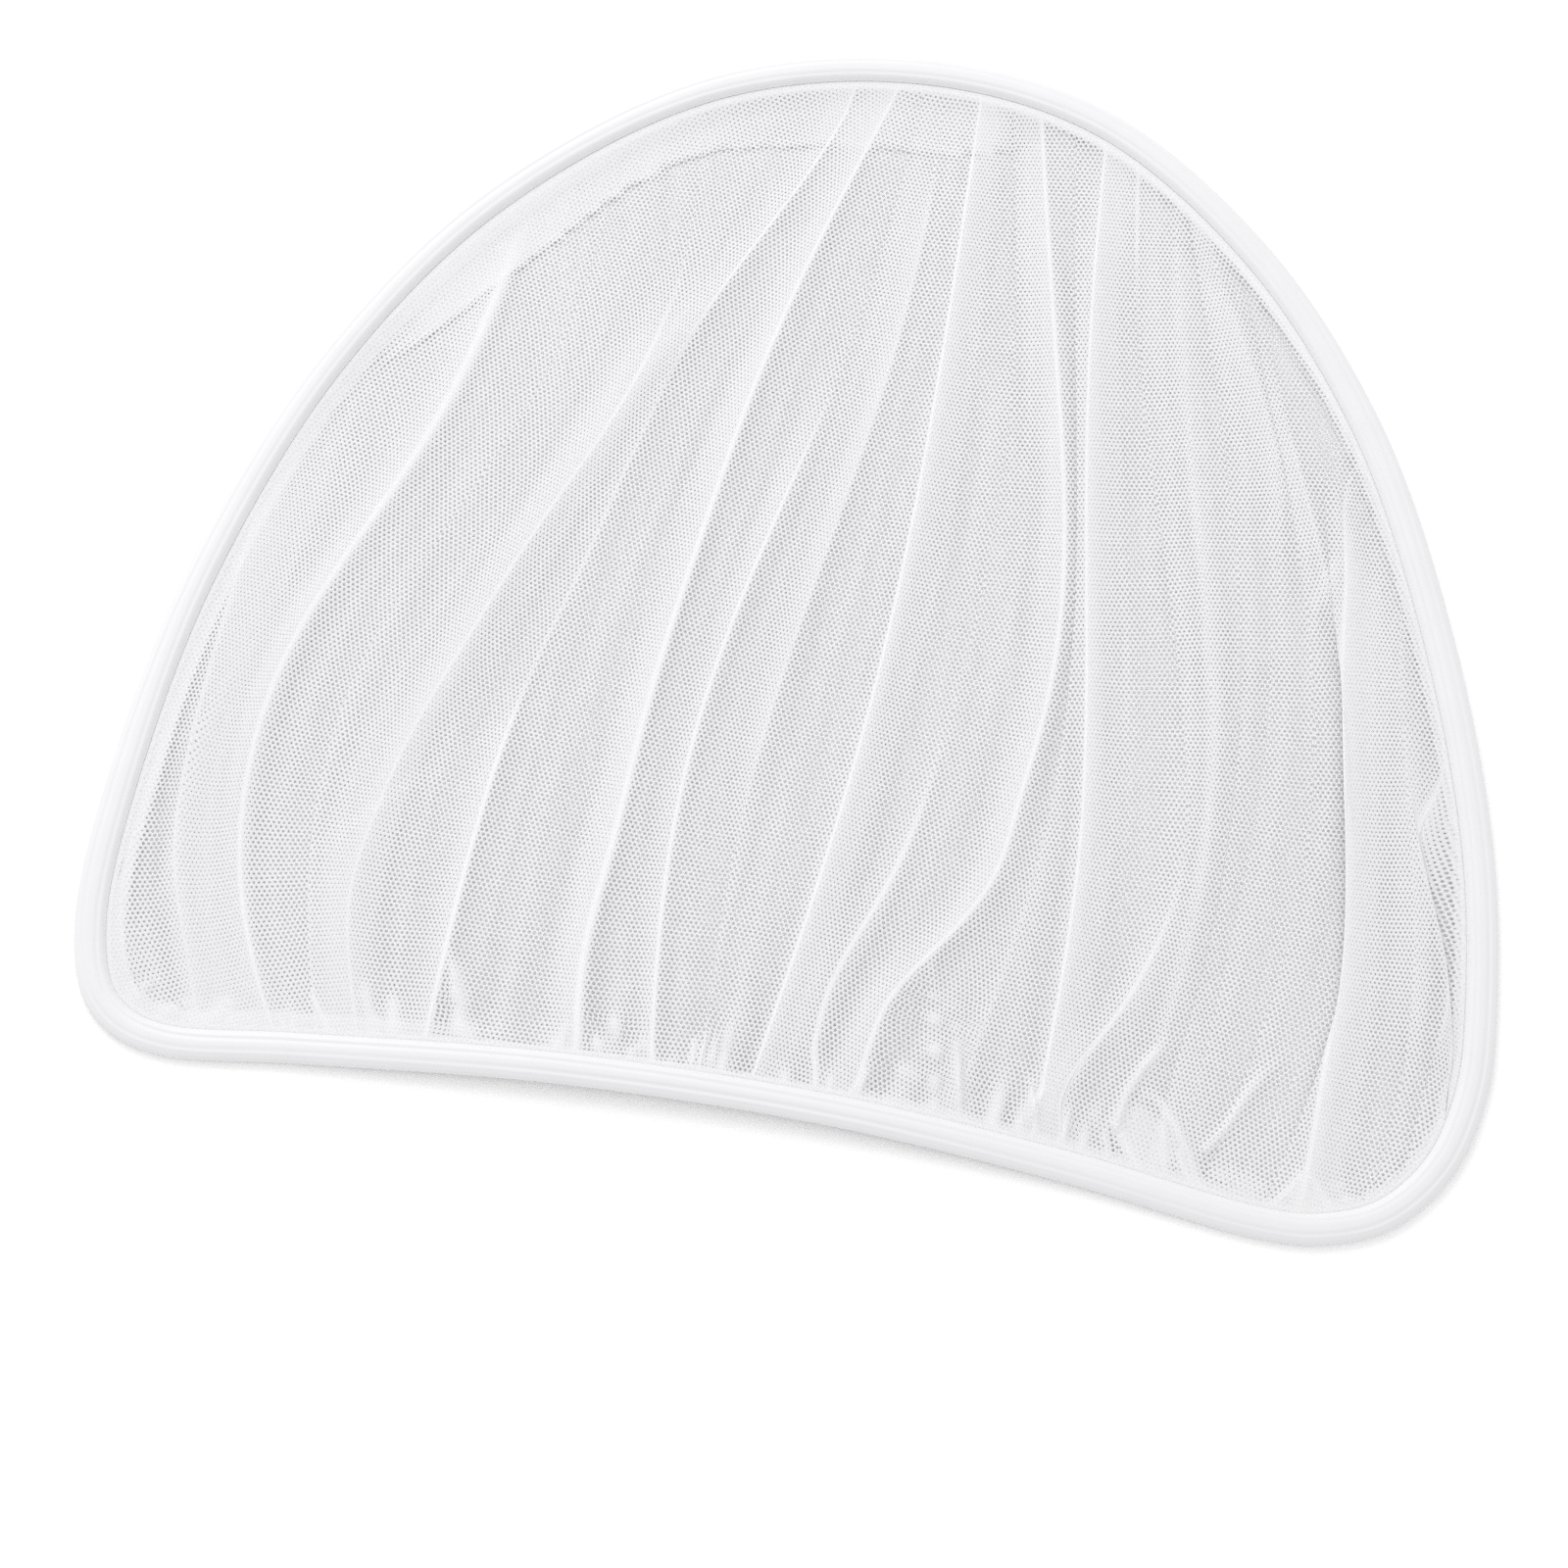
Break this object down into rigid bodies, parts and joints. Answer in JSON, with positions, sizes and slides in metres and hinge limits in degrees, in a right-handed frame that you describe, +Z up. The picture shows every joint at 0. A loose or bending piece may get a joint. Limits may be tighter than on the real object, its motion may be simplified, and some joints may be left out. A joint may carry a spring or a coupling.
{
  "type": "stroller mosquito net",
  "caption": "Soft mosquito net for a stroller, lying slack: a sheer gathered mesh panel with long uneven folds, held in a stretchy white binding round its edge.",
  "frame": {"origin": "on the surface under the middle of the whole net, the bottom centre of its box", "axes": "+X along the straighter edge of the loop, +Y from that edge towards the crown, +Z up from the surface"},
  "size_m": [0.541, 0.4755, 0.0126],
  "materials": {
    "net_mesh": "sheer matt polyester mesh",
    "binding_cloth": "soft satin stretch binding"
  },
  "bodies": {
    "root": {"net": "net_mesh", "binding": "binding_cloth"}
  },
  "joints": []
}
